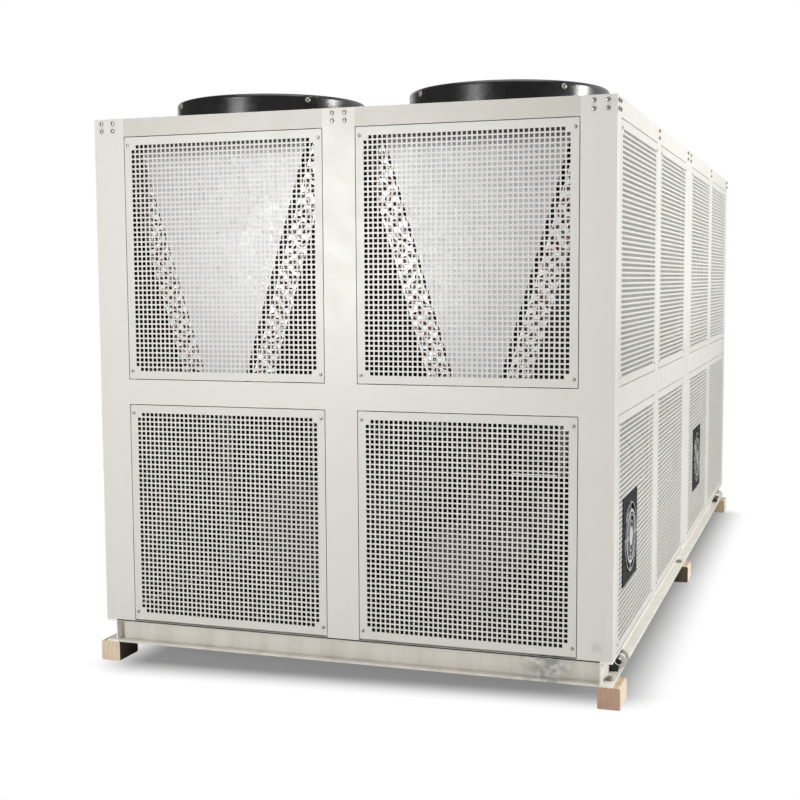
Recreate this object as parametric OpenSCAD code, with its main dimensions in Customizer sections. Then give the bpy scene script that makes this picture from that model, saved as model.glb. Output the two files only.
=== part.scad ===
// Air cooled water chiller on a channel base, standing on timber blocks.
// Millimetres. X runs across the machine, Y along it with the near end at -Y, Z up from the ground.
// Origin: middle of the footprint on the ground, under the timber blocks.

/* [Cabinet] */
// Width over the posts
cabinet_w = 2180; // [1900:10:2500]
// Length over the posts
cabinet_l = 4580; // [4200:10:5200]
// Height from the base to the top rails
cabinet_h = 2113; // [1950:1:2300]
// Gap between the base and the lower panels
panel_foot = 4; // [2:1:12]
// Height of a lower panel bay
lower_h = 926; // [820:1:1000]
// Height of the middle rails
mid_rail_h = 104; // [80:1:130]
// Height of the top rails
top_rail_h = 73; // [60:1:100]

/* [Posts] */
// Face width of the corner and centre posts on the ends
end_post_w = 136; // [100:1:170]
// Face width of a corner post on the long sides
corner_w = 94; // [80:1:120]
// Face width of the posts at the quarter points
side_post_w = 122; // [90:1:150]
// Face width of the doubled posts at mid length
mid_post_w = 284; // [220:2:320]
// Depth at which panels and rails seat on the posts
seat_d = 20; // [15:1:25]
// Width of the seat flange behind the panels
seat_w = 24; // [18:1:30]
// Sheet thickness of posts and rails
sheet_t = 2; // [1.5:0.1:3]

/* [Panels] */
// Clear joint around each panel
panel_gap = 1.5; // [1:0.1:3]
// Sheet thickness of the panels
panel_t = 1.2; // [1:0.1:2]
// Side of a square opening, which stands for 5 by 5 of the real 12 mm holes
hole_w = 60; // [40:1:70]
// Pitch of the openings
hole_pitch = 100; // [90:1:140]
// Least plain border around the openings
hole_border = 36; // [30:1:60]

/* [Base] */
// Height of the channel sections
channel_h = 100; // [80:1:140]
// Width of the channel flanges
flange_w = 48; // [40:1:60]
// Thickness of the channel webs
web_t = 5.3; // [4:0.1:8]
// Thickness of the channel flanges
flange_t = 8.5; // [6:0.1:11]
// Diameter of the bolt holes in the lower flanges
bolt_d = 18; // [14:1:22]
// Distance of the corner bolt holes from the ends
bolt_inset = 340; // [300:5:420]
// Thickness of the floor sheet
floor_t = 3; // [2:0.5:6]

/* [Lifting lugs] */
// Distance of the lug pairs from the ends
lug_inset = 230; // [200:5:260]
// Clear space between the two plates of a pair
lug_space = 60; // [40:1:80]
// Plate thickness
lug_t = 10; // [8:1:14]
// Hole diameter
lug_hole_d = 30; // [20:1:34]
// Outer radius of the rounded end
lug_r = 30; // [26:1:34]

/* [Timber blocks] */
// Height of a block
block_h = 85; // [60:1:120]
// Width of a block
block_w = 90; // [70:1:110]
// Length of a block
block_l = 150; // [110:1:180]
// How far a block stands out beyond the base
block_out = 32; // [30:1:45]

/* [Fans] */
// Outside diameter of a fan ring
ring_d = 830; // [700:5:900]
// Height of a ring above the roof
ring_h = 100; // [80:1:140]
// Wall of a ring
ring_t = 5; // [4:0.5:8]
// Radius of the rolled lip at the top of a ring
lip_r = 14; // [10:1:20]
// Width of the foot flange of a ring
ring_foot = 34; // [25:1:40]
// Thickness of the roof sheet
roof_t = 2; // [1.5:0.1:3]
// Number of guard rings
guard_rings = 10; // [6:1:14]
// Wire size of the guards
wire = 5; // [4:0.5:7]
// Motor diameter
motor_d = 170; // [140:1:200]
// Motor height
motor_h = 120; // [90:1:150]
// Number of blades
blades = 6; // [4:1:7]
// Blade pitch angle
blade_pitch = 28; // [20:1:34]
// Chord of a blade
blade_chord = 120; // [90:1:140]
// Radius of a blade's camber
camber_r = 180; // [150:5:300]
// Thickness of a blade
blade_t = 3; // [2:0.5:5]
// Running clearance between blades and ring
tip_gap = 8; // [5:1:15]

/* [Coils] */
// Half width inside a coil pair at its foot
v_foot = 101; // [80:1:120]
// Thickness of a coil, measured level
coil_x = 92; // [70:1:100]
// Clear space between the coil tops and the side frame
coil_clear = 8; // [6:1:40]
// Distance of the coil end sheets from the ends of the cabinet
coil_inset = 96; // [92:1:120]
// Open slit between the closing plate of a V and its coils
plate_slit = 21; // [12:1:30]
// How far the closing plates stand out from the coil end sheets
plate_out = 28; // [10:1:40]
// Thickness of the coil end sheets and closing plates
end_sheet_t = 2; // [1.5:0.1:3]
// Height taken by one return bend and its space
bend_pitch = 76; // [70:1:90]
// Tube diameter of the return bends
bend_d = 13; // [10:0.5:16]

/* [Lower machinery] */
// Evaporator shell diameter
evap_d = 420; // [340:5:480]
// Evaporator shell length
evap_l = 3300; // [2800:10:3600]
// Compressor body diameter
comp_d = 330; // [280:5:360]
// Compressor length
comp_l = 1050; // [900:10:1150]
// Height of the evaporator's underside above the floor
evap_lift = 90; // [60:1:120]
// Height of the compressors' underside above the floor
comp_lift = 110; // [80:1:140]
// Length of an evaporator saddle
saddle_l = 80; // [60:1:120]
// Length of a compressor stand
stand_l = 60; // [40:1:90]
// Diameter of a compressor's discharge port
port_d = 150; // [120:1:180]
// Height of the port above the compressor body
port_h = 80; // [60:1:110]
// Diameter of the riser pipes
pipe_d = 76; // [54:1:90]
// Diameter of a riser's flange
pipe_flange_d = 130; // [100:1:140]

/* [Side ventilators] */
// Side of the square frame
vent_w = 350; // [300:5:380]
// Throat diameter
vent_d = 290; // [240:5:290]
// Thickness of the frame plate on the panel
vent_t = 4; // [3:1:10]
// Diameter of the guard's wide band
vent_band_d = 208; // [180:1:220]
// Width of that band
vent_band_w = 12; // [6:1:16]
// Wire of the guard
vent_wire = 4; // [3:1:6]
// Diameter of the hub
vent_hub_d = 90; // [80:1:110]
// Depth of the hub behind the guard
vent_hub_h = 60; // [50:1:80]
// Running clearance between blades and throat
vent_gap = 8; // [5:1:15]
// Chord of a ventilator blade
vent_chord = 64; // [50:1:70]
// Height of the middle above the base
vent_z = 415; // [380:5:440]
// Distance of the first one from its bay's left edge
vent_off_1 = 284; // [260:1:420]
// Distance of the second one from its bay's left edge
vent_off_2 = 400; // [260:1:420]

/* [Hidden] */
half_w = cabinet_w / 2;
half_l = cabinet_l / 2;
z0 = block_h + channel_h;
z_top = z0 + cabinet_h;
z_mid0 = z0 + panel_foot + lower_h;
z_mid1 = z_mid0 + mid_rail_h;
z_rail = z_top - top_rail_h;
upper_h = z_rail - z_mid1;
end_bay = (cabinet_w - 3 * end_post_w) / 2;
side_bay = (cabinet_l - 2 * corner_w - 2 * side_post_w - mid_post_w) / 4;
half_post = (mid_post_w - 2) / 2;
end_bay_x = end_post_w / 2 + end_bay / 2;
bay_in = mid_post_w / 2 + side_bay / 2;
bay_out = bay_in + side_bay + side_post_w;
post_y = mid_post_w / 2 + side_bay + side_post_w / 2;
back = seat_d + sheet_t;
web_x = half_w - flange_w;
roof_z = z_top + roof_t;
foot_t = 4;
hub_foot = 5;
deck_t = 2;
deck_h = 60;
deck_z = z_mid1 - 20;
coil_z0 = deck_z + deck_t;
coil_z1 = z_top;
v_x = cabinet_w / 4 - 5;
v_lean = (half_w - back - coil_clear - v_x - v_foot - coil_x) / (coil_z1 - coil_z0);
lean_deg = atan(v_lean);
coil_l = cabinet_l - 2 * coil_inset - 2 * end_sheet_t;
ring_r = ring_d / 2;
throat_r = ring_r - 2 * ring_t;
guard_z = roof_z + ring_h - lip_r - wire;
floor_z = z0 + floor_t;
evap_x = -420;
evap_z = floor_z + evap_d / 2 + evap_lift;
comp_x = 420;
comp_z = floor_z + comp_d / 2 + comp_lift;
vent_y = [-bay_out - side_bay / 2 + vent_off_1, bay_in - side_bay / 2 + vent_off_2];
comp_y = bay_out - 250;
$fn = 64;

steel_white = [0.87, 0.86, 0.83];
steel_base = [0.79, 0.78, 0.73];
zinc = [0.72, 0.74, 0.76];
black = [0.12, 0.12, 0.13];
copper = [0.72, 0.42, 0.28];
pine = [0.80, 0.68, 0.48];

// Children copied to both signs of X
module both_x() for (s = [1, -1]) scale_x(s) children();
module scale_x(s) if (s > 0) children(); else mirror([1, 0, 0]) children();
// Children copied to both signs of Y
module both_y() for (s = [1, -1]) if (s > 0) children(); else mirror([0, 1, 0]) children();

// Outward facing channel section in the XY plane: web along Y at x = 0, flanges towards +X
module channel_section() difference() {
  square([flange_w, channel_h]);
  translate([web_t, flange_t]) square([flange_w, channel_h - 2 * flange_t]);
}

// Hat section of a post: face at y = 0 centred on x, returns to the seat, flanges outward
module hat_section(w) polygon([
  [-w / 2, 0], [w / 2, 0], [w / 2, seat_d], [w / 2 + seat_w, seat_d], [w / 2 + seat_w, back],
  [w / 2 - sheet_t, back], [w / 2 - sheet_t, sheet_t], [-w / 2 + sheet_t, sheet_t],
  [-w / 2 + sheet_t, back], [-w / 2 - seat_w, back], [-w / 2 - seat_w, seat_d], [-w / 2, seat_d]]);

// Half of a doubled post: a hat with one flange, face from x = 0 to w
module half_hat_section(w) polygon([
  [0, 0], [w, 0], [w, seat_d], [w + seat_w, seat_d], [w + seat_w, back], [w - sheet_t, back],
  [w - sheet_t, sheet_t], [sheet_t, sheet_t], [sheet_t, back], [0, back]]);

// Corner post, outer corner at the origin, one leg along -X and one along +Y
module corner_section() polygon([
  [0, 0], [0, corner_w], [-seat_d, corner_w], [-seat_d, corner_w + seat_w], [-back, corner_w + seat_w],
  [-back, corner_w - sheet_t], [-sheet_t, corner_w - sheet_t], [-sheet_t, sheet_t],
  [-end_post_w + sheet_t, sheet_t], [-end_post_w + sheet_t, back], [-end_post_w - seat_w, back],
  [-end_post_w - seat_w, seat_d], [-end_post_w, seat_d], [-end_post_w, 0]]);

// Rail between two posts: face at y = 0, open at the back, centred on x, standing on z = 0
module rail(length, height) translate([-length / 2, 0, 0]) difference() {
  cube([length, seat_d, height]);
  translate([-1, sheet_t, sheet_t]) cube([length + 2, seat_d, height - 2 * sheet_t]);
}

// Square openings in even rows and columns, as many as fit a field of w by h around the origin
module hole_grid(w, h) {
  nx = floor((w - hole_w) / hole_pitch) + 1;
  ny = floor((h - hole_w) / hole_pitch) + 1;
  for (i = [0 : nx - 1], j = [0 : ny - 1])
    translate([(i - (nx - 1) / 2) * hole_pitch, (j - (ny - 1) / 2) * hole_pitch]) square(hole_w, center = true);
}

// Perforated panel: a tray with its face at y = 0 and returns towards +Y, centred on x, standing on z = 0.
// A round opening of diameter vent_cut is left at each place in vents, given from the middle of the panel.
module panel(w, h, vents = [], vent_cut = 0) {
  pw = w - 2 * panel_gap;
  ph = h - 2 * panel_gap;
  translate([0, seat_d, h / 2]) rotate([90, 0, 0]) {
    translate([0, 0, seat_d - panel_t]) linear_extrude(panel_t) difference() {
      square([pw, ph], center = true);
      difference() {
        hole_grid(pw - 2 * hole_border, ph - 2 * hole_border);
        for (v = vents) translate(v) square(vent_w + hole_w, center = true);
      }
      for (v = vents) translate(v) circle(d = vent_cut);
    }
    linear_extrude(seat_d - panel_t) difference() {
      square([pw, ph], center = true);
      square([pw - 2 * panel_t, ph - 2 * panel_t], center = true);
    }
  }
}

// Places what faces -Y at y = 0 on each end, or on one long side
module at_front() translate([0, -half_l, 0]) children();
module at_rear() rotate([0, 0, 180]) translate([0, -half_l, 0]) children();
module at_right() rotate([0, 0, 90]) translate([0, -half_w, 0]) children();
module at_left() rotate([0, 0, -90]) translate([0, -half_w, 0]) children();

module base_side_rails() color(steel_base) both_x() difference() {
  translate([web_x, half_l, block_h]) rotate([90, 0, 0]) linear_extrude(cabinet_l) channel_section();
  for (y = [-half_l + bolt_inset, 0, half_l - bolt_inset])
    translate([half_w - flange_w / 2 + 2, y + (y == 0 ? block_l / 2 + 60 : 0), block_h - 1])
      cylinder(d = bolt_d, h = flange_t + 2);
}

module base_end_channels() color(steel_base) both_y()
  translate([-web_x, half_l - flange_w, block_h]) rotate([90, 0, 90]) linear_extrude(2 * web_x) channel_section();

module base_cross_channels() color(steel_base) for (y = [-post_y, 0, post_y])
  translate([-web_x, y - flange_w / 2, block_h]) rotate([90, 0, 90]) linear_extrude(2 * web_x) channel_section();

module lifting_lugs() color(steel_base) both_x() both_y() for (s = [-1, 1])
  translate([web_x + web_t, half_l - lug_inset + s * (lug_space + lug_t) / 2 + lug_t / 2, block_h + flange_t])
    rotate([90, 0, 0]) linear_extrude(lug_t) {
      h = channel_h - 2 * flange_t;
      x = flange_w - web_t - 8;
      difference() {
        union() {
          square([x, h]);
          translate([x, h / 2]) circle(r = lug_r);
        }
        translate([x, h / 2]) circle(d = lug_hole_d);
      }
    }

module timber_blocks() color(pine) both_x()
  for (y = [-half_l + block_l / 2, 0, half_l - block_l / 2])
    translate([half_w + block_out - block_w, y - block_l / 2, 0]) cube([block_w, block_l, block_h]);

module floor_sheet() color(steel_base)
  translate([-half_w + back + 4, -half_l + back + 4, z0])
    cube([cabinet_w - 2 * back - 8, cabinet_l - 2 * back - 8, floor_t]);

module corner_posts() color(steel_white) both_x() both_y() mirror([0, 1, 0])
  translate([half_w, -half_l, z0]) linear_extrude(cabinet_h) corner_section();

module end_centre_posts() color(steel_white) {
  at_front() translate([0, 0, z0]) linear_extrude(cabinet_h) hat_section(end_post_w);
  at_rear() translate([0, 0, z0]) linear_extrude(cabinet_h) hat_section(end_post_w);
}

module quarter_posts() color(steel_white) for (y = [-post_y, post_y]) {
  at_right() translate([y, 0, z0]) linear_extrude(cabinet_h) hat_section(side_post_w);
  at_left() translate([y, 0, z0]) linear_extrude(cabinet_h) hat_section(side_post_w);
}

module middle_posts() color(steel_white) both_x() both_y()
  at_right() translate([1, 0, z0]) linear_extrude(cabinet_h) half_hat_section(half_post);

module end_row() for (x = [-end_bay_x, end_bay_x]) {
  at_front() translate([x, 0, 0]) children();
  at_rear() translate([x, 0, 0]) children();
}

module side_row() for (y = [-bay_out, -bay_in, bay_in, bay_out]) {
  at_right() translate([y, 0, 0]) children();
  at_left() translate([y, 0, 0]) children();
}

module end_top_rails() color(steel_white) end_row() translate([0, 0, z_rail]) rail(end_bay, top_rail_h);
module side_top_rails() color(steel_white) side_row() translate([0, 0, z_rail]) rail(side_bay, top_rail_h);
module end_mid_rails() color(steel_white) end_row() translate([0, 0, z_mid0]) rail(end_bay, mid_rail_h);
module side_mid_rails() color(steel_white) side_row() translate([0, 0, z_mid0]) rail(side_bay, mid_rail_h);

module end_pair(z, h) for (x = [-end_bay_x, end_bay_x]) translate([x, 0, z]) panel(end_bay, h);
module side_four(z, h) for (y = [-bay_out, -bay_in, bay_in, bay_out]) translate([y, 0, z]) panel(side_bay, h);

module front_upper_panels() color(steel_white) at_front() end_pair(z_mid1, upper_h);
module front_lower_panels() color(steel_white) at_front() end_pair(z0 + panel_foot, lower_h);
module rear_upper_panels() color(steel_white) at_rear() end_pair(z_mid1, upper_h);
module rear_lower_panels() color(steel_white) at_rear() end_pair(z0 + panel_foot, lower_h);
module left_upper_panels() color(steel_white) at_left() side_four(z_mid1, upper_h);
module left_lower_panels() color(steel_white) at_left() side_four(z0 + panel_foot, lower_h);
module right_upper_panels() color(steel_white) at_right() side_four(z_mid1, upper_h);
module right_lower_panels() color(steel_white) at_right()
  for (y = [-bay_out, -bay_in, bay_in, bay_out]) translate([y, 0, z0 + panel_foot])
    panel(side_bay, lower_h, [for (v = vent_y) if (abs(v - y) < side_bay / 2) [v - y, vent_z - panel_foot - lower_h / 2]], vent_d);

// Fan places, in two rows over the coil pairs
module at_fans() for (x = [-v_x, v_x], y = [-bay_out, -bay_in, bay_in, bay_out]) translate([x, y, 0]) children();

module roof_sheets() color(steel_white) both_y() difference() {
  translate([-half_w + 4, 1, z_top]) cube([cabinet_w - 8, half_l - 5, roof_t]);
  for (x = [-v_x, v_x], y = [bay_in, bay_out]) translate([x, y, z_top - 1]) cylinder(r = throat_r, h = roof_t + 2);
}

// Fan ring: foot flange, bell mouth into the throat, wall, and a lip rolled inwards at the top
module ring_section() {
  polygon([[throat_r, 0], [ring_r + ring_foot, 0], [ring_r + ring_foot, foot_t], [ring_r, foot_t],
    [ring_r, ring_h - lip_r], [ring_r - ring_t, ring_h - lip_r], [ring_r - ring_t, foot_t + 2 * ring_t], [throat_r, foot_t]]);
  translate([ring_r - lip_r, ring_h - lip_r]) intersection() {
    square(lip_r);
    difference() {
      circle(r = lip_r);
      circle(r = lip_r - ring_t);
    }
  }
}

module fan_rings() color(black) at_fans() translate([0, 0, roof_z]) rotate_extrude($fn = 128) ring_section();

module fan_guards() color(black) at_fans() translate([0, 0, guard_z]) {
  step = (throat_r - motor_d / 2 - 20) / guard_rings;
  for (i = [1 : guard_rings]) rotate_extrude($fn = 96)
    translate([motor_d / 2 + i * step, 0]) square(wire);
  for (a = [45 : 90 : 315]) rotate([0, 0, a]) translate([motor_d / 2 - 20, -wire / 2, -wire])
    cube([throat_r + ring_t - motor_d / 2 + 20, wire, wire + 2]);
  translate([0, 0, -wire]) cylinder(d = motor_d, h = wire + 2);
}

module fan_motors() color(black) at_fans() translate([0, 0, guard_z - wire - motor_h]) cylinder(d = motor_d - 20, h = motor_h);

// Cambered blade from radius r0 to r1: a curved section drawn out along the radius, then set to its pitch.
// The corners of its tip stay inside r1.
module blade(r0, r1, chord, pitch, camber, t)
  rotate([pitch, 0, 0]) translate([r0, 0, 0]) rotate([90, 0, 90])
    linear_extrude(sqrt(r1 * r1 - chord * chord / 4) - r0) intersection() {
      translate([-chord / 2, -chord]) square([chord, 2 * chord]);
      translate([0, -camber]) difference() {
        circle(r = camber + t / 2);
        circle(r = camber - t / 2);
      }
    }

module fan_rotors() color(black) at_fans() translate([0, 0, guard_z - wire - motor_h]) {
  difference() {
    translate([0, 0, hub_foot]) cylinder(d = motor_d + 10, h = motor_h - 6 * hub_foot);
    translate([0, 0, hub_foot - 1]) cylinder(d = motor_d - 20, h = motor_h);
  }
  translate([0, 0, motor_h / 2 - 2 * hub_foot]) for (i = [0 : blades - 1]) rotate([0, 0, i * 360 / blades])
    blade(motor_d / 2 - 3, throat_r - tip_gap, blade_chord, blade_pitch, camber_r, blade_t);
}

// Channels across the machine under the deck, with plates against the posts
module deck_beams() color(steel_white) {
  for (y = [-post_y, 0, post_y]) translate([-half_w + back, y - 30, deck_z - deck_h]) difference() {
    cube([cabinet_w - 2 * back, 60, deck_h]);
    translate([-1, 3, -3]) cube([cabinet_w, 54, deck_h]);
  }
  both_x() for (y = [-post_y, 0, post_y]) {
    w = (y == 0 ? mid_post_w : side_post_w) + 40;
    translate([half_w - back - 4, y - w / 2, deck_z - deck_h]) cube([4, w, deck_h]);
  }
  both_y() translate([-half_w + back, half_l - back - 50, deck_z - deck_h]) difference() {
    cube([cabinet_w - 2 * back, 50, deck_h]);
    translate([-1, 3, -3]) cube([cabinet_w, 44, deck_h]);
  }
}

module deck_sheet() color(zinc)
  translate([-half_w + back + 2, -half_l + back + 2, deck_z])
    cube([cabinet_w - 2 * back - 4, cabinet_l - 2 * back - 4, deck_t]);

// Coil section in the XZ plane, right hand coil of a pair centred on x = 0, foot at z = 0
module coil_section(grow = 0) polygon([
  [v_foot - grow, 0], [v_foot + coil_x + grow, 0],
  [v_foot + coil_x + grow + v_lean * (coil_z1 - coil_z0), coil_z1 - coil_z0],
  [v_foot - grow + v_lean * (coil_z1 - coil_z0), coil_z1 - coil_z0]]);

// Children copied to the four coils
module at_coils() for (x = [-v_x, v_x]) translate([x, 0, coil_z0]) both_x() children();

module condenser_coils() color(zinc) at_coils()
  translate([0, coil_l / 2, 0]) rotate([90, 0, 0]) linear_extrude(coil_l) coil_section();

module coil_end_sheets() color(steel_white) at_coils() both_y()
  translate([0, half_l - coil_inset, 0]) rotate([90, 0, 0]) linear_extrude(end_sheet_t) coil_section();

// Copper return bends on the +Y ends of the coils
module bends() color(copper) at_coils() {
  n = floor((coil_z1 - coil_z0 - 80) / bend_pitch);
  for (i = [0 : n - 1], j = [0, 1]) {
    z = 40 + (i + 0.5 + 0.4 * j) * bend_pitch;
    translate([v_foot + v_lean * z + coil_x * (0.3 + 0.4 * j), half_l - coil_inset, z])
      rotate([0, lean_deg - 90, 0]) rotate_extrude(angle = 180, $fn = 14)
        translate([bend_pitch / 4, 0]) circle(d = bend_d, $fn = 14);
  }
}
module return_bends_front() mirror([0, 1, 0]) bends();
module return_bends_rear() bends();

module v_closing_plates() color(zinc) for (x = [-v_x, v_x]) both_y()
  translate([x, half_l - coil_inset + plate_out, coil_z0]) rotate([90, 0, 0]) linear_extrude(end_sheet_t) {
    h = coil_z1 - coil_z0;
    foot = v_foot - plate_slit;
    polygon([[-foot, 0], [foot, 0], [foot + v_lean * h, h], [-foot - v_lean * h, h]]);
  }

module evaporator() color(black) translate([evap_x, 0, evap_z]) rotate([90, 0, 0]) {
  translate([0, 0, -evap_l / 2]) cylinder(d = evap_d, h = evap_l);
  for (s = [-1, 1]) translate([0, 0, s * evap_l / 2 - 20]) cylinder(d = evap_d + 70, h = 40);
}

// Saddle block under a lying cylinder of diameter d whose middle is at height h
module saddle(d, l, h) difference() {
  translate([-d * 0.4, -l / 2, 0]) cube([d * 0.8, l, h]);
  translate([0, -l, h]) rotate([-90, 0, 0]) cylinder(d = d, h = 2 * l);
}

module evaporator_saddles() color(steel_base) for (y = [-evap_l * 0.36, evap_l * 0.36])
  translate([evap_x, y, floor_z]) saddle(evap_d, saddle_l, evap_z - floor_z);

module compressors() color(steel_base) both_y() translate([comp_x, comp_y, comp_z]) rotate([-90, 0, 0]) {
  translate([0, 0, -comp_l / 2]) cylinder(d = comp_d, h = comp_l);
  translate([0, 0, -comp_l / 2 - 40]) cylinder(d = comp_d * 0.8, h = comp_l + 80);
  translate([0, 0, -60]) cylinder(d = comp_d + 50, h = 40);
  translate([0, -comp_d / 4, comp_l / 4]) rotate([90, 0, 0]) cylinder(d = port_d, h = comp_d / 4 + port_h);
}

module compressor_stands() color(steel_base) both_y() for (s = [-1, 1])
  translate([comp_x, comp_y + s * comp_l * 0.3, floor_z]) saddle(comp_d, stand_l, comp_z - floor_z);

module refrigerant_pipes() color(copper) both_y()
  translate([comp_x, comp_y + comp_l / 4, comp_z + comp_d / 2 + port_h]) {
    cylinder(d = pipe_d, h = deck_z - (comp_z + comp_d / 2 + port_h));
    cylinder(d = pipe_flange_d, h = pipe_flange_d / 5);
  }

module vent_frames() color(black) for (y = vent_y) translate([half_w, y, z0 + vent_z]) rotate([0, 90, 0]) difference() {
  translate([-vent_w / 2, -vent_w / 2, 0]) cube([vent_w, vent_w, vent_t]);
  translate([0, 0, -1]) cylinder(d = vent_d, h = vent_t + 2);
}

// The arms end on the throat's wall and carry the hub; the rings lie on the arms.
module vent_guards() color(zinc) for (y = vent_y) translate([half_w, y, z0 + vent_z]) rotate([0, 90, 0]) {
  for (d = [vent_hub_d + 30, vent_band_d - 40, vent_d - 20]) translate([0, 0, vent_t])
    rotate_extrude() translate([d / 2, 0]) square(vent_wire);
  translate([0, 0, vent_t]) rotate_extrude() translate([vent_band_d / 2 - vent_band_w / 2, 0]) square([vent_band_w, vent_wire]);
  for (a = [0 : 90 : 270]) rotate([0, 0, a]) translate([vent_hub_d / 3, -vent_wire, 0])
    cube([vent_d / 2 - vent_hub_d / 3, 2 * vent_wire, vent_t + vent_wire / 2]);
  cylinder(d = vent_hub_d - 10, h = vent_t + vent_wire);
}

module vent_rotors() color(black) for (y = vent_y) translate([half_w, y, z0 + vent_z]) rotate([0, -90, 0]) {
  cylinder(d = vent_hub_d, h = vent_hub_h);
  translate([0, 0, vent_hub_h / 2]) for (i = [0 : 4]) rotate([0, 0, i * 72])
    blade(vent_hub_d / 2 - 3, vent_d / 2 - vent_gap, vent_chord, blade_pitch, camber_r / 2, blade_t);
}

base_side_rails();
base_end_channels();
base_cross_channels();
lifting_lugs();
timber_blocks();
floor_sheet();
corner_posts();
end_centre_posts();
quarter_posts();
middle_posts();
end_top_rails();
side_top_rails();
end_mid_rails();
side_mid_rails();
front_upper_panels();
front_lower_panels();
rear_upper_panels();
rear_lower_panels();
left_upper_panels();
left_lower_panels();
right_upper_panels();
right_lower_panels();
roof_sheets();
fan_rings();
fan_guards();
fan_motors();
fan_rotors();
deck_beams();
deck_sheet();
condenser_coils();
coil_end_sheets();
return_bends_front();
return_bends_rear();
v_closing_plates();
evaporator();
evaporator_saddles();
compressors();
compressor_stands();
refrigerant_pipes();
vent_frames();
vent_guards();
vent_rotors();
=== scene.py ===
import math
import random

import bpy
import numpy as np
from mathutils import Matrix, Vector


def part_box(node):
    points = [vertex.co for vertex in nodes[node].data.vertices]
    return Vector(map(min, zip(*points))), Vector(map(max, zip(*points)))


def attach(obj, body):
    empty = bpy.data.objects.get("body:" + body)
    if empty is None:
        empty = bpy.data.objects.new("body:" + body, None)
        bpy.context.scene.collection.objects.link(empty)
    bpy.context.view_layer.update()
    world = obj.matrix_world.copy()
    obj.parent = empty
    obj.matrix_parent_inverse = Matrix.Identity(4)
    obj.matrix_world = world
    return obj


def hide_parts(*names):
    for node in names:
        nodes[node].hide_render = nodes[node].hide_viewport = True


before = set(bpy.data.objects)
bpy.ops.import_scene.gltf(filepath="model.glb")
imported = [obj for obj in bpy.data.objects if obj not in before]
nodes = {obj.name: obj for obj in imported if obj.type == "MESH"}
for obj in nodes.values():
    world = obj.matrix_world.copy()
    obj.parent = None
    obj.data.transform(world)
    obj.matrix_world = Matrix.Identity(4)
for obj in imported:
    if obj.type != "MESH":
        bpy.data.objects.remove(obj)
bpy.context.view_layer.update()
halfW, halfL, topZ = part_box("corner_posts")[1]  # cabinet faces and top, metres
nearGap = 0.0005  # points of the CAD closer than this belong together
print("frame loaded:", len(nodes), "nodes, cabinet", round(2 * halfW, 3), "x", round(2 * halfL, 3))

# each side of the cabinet: its turn from the front, how far out it is, the axis it runs along and which way
sides = {"front": {"turn": 0, "reach": halfL, "axis": 0, "sign": 1},
         "rear": {"turn": 180, "reach": halfL, "axis": 0, "sign": -1},
         "left": {"turn": -90, "reach": halfW, "axis": 1, "sign": -1},
         "right": {"turn": 90, "reach": halfW, "axis": 1, "sign": 1}}
ends, longSides = ("front", "rear"), ("right", "left")


# small mesh tools: a shape is (points array, list of faces)
def joinShapes(shapes):
    points, faces, start = [], [], 0
    for shapePoints, shapeFaces in shapes:
        points.append(np.asarray(shapePoints, float))
        faces.extend([tuple(i + start for i in face) for face in shapeFaces])
        start += len(shapePoints)
    return np.concatenate(points), faces


def moveShape(shape, matrix):
    points = np.asarray(shape[0], float)
    turned = points @ np.array(matrix.to_3x3()).T + np.array(matrix.translation)
    return turned, shape[1]


def boxShape(low, high):
    (x0, y0, z0), (x1, y1, z1) = low, high
    points = [(x0, y0, z0), (x1, y0, z0), (x1, y1, z0), (x0, y1, z0),
              (x0, y0, z1), (x1, y0, z1), (x1, y1, z1), (x0, y1, z1)]
    faces = [(0, 3, 2, 1), (4, 5, 6, 7), (0, 1, 5, 4), (1, 2, 6, 5), (2, 3, 7, 6), (3, 0, 4, 7)]
    return np.array(points), faces


def revolveShape(profile, segments):
    # profile of (radius, height) from the axis outwards and back, turned about Z
    points, rings, faces = [], [], []
    for radius, height in profile:
        if radius == 0:
            rings.append([len(points)] * segments)
            points.append((0, 0, height))
            continue
        rings.append(list(range(len(points), len(points) + segments)))
        for k in range(segments):
            turn = 2 * math.pi * k / segments
            points.append((radius * math.cos(turn), radius * math.sin(turn), height))
    for a, b in zip(rings, rings[1:]):
        for k in range(segments):
            n = (k + 1) % segments
            face = list(dict.fromkeys((a[k], a[n], b[n], b[k])))
            if len(face) > 2:
                faces.append(tuple(face))
    return np.array(points), faces


def drawnShape(points, n, capped=True, flipped=False):
    # a skin over rings of n points that follow each other, with ends where it is capped
    rows = len(points) // n
    faces = [(k * n + i, k * n + (i + 1) % n, (k + 1) * n + (i + 1) % n, (k + 1) * n + i)
             for k in range(rows - 1) for i in range(n)]
    if capped:
        faces += [tuple(range(n))[::-1], tuple((rows - 1) * n + i for i in range(n))]
    if flipped:
        faces = [(face[0], *face[:0:-1]) for face in faces]
    return np.array(points), faces


def makePiece(name, shape, material, replaced=(), smoothAngle=None):
    mesh = bpy.data.meshes.new(name)
    mesh.from_pydata(shape[0].tolist(), [], shape[1])
    mesh.materials.append(material)
    piece = bpy.data.objects.new(name, mesh)
    bpy.context.scene.collection.objects.link(piece)
    if smoothAngle:
        mesh.shade_smooth()
        mesh.set_sharp_from_angle(angle=math.radians(smoothAngle))
    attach(piece, "root")
    if replaced:
        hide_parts(*replaced)
    return piece


def spansOf(node, axis):
    # low and high of each separate run of faces of a CAD node along one axis
    mesh = nodes[node].data
    values = np.array([v.co[axis] for v in mesh.vertices])
    runs = sorted((values[list(p.vertices)].min(), values[list(p.vertices)].max()) for p in mesh.polygons)
    spans = []
    for low, high in runs:
        if spans and low <= spans[-1][1] + nearGap:
            spans[-1][1] = max(spans[-1][1], high)
        else:
            spans.append([low, high])
    return spans


def middlesOf(node, axis):
    return [(low + high) / 2 for low, high in spansOf(node, axis)]


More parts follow.
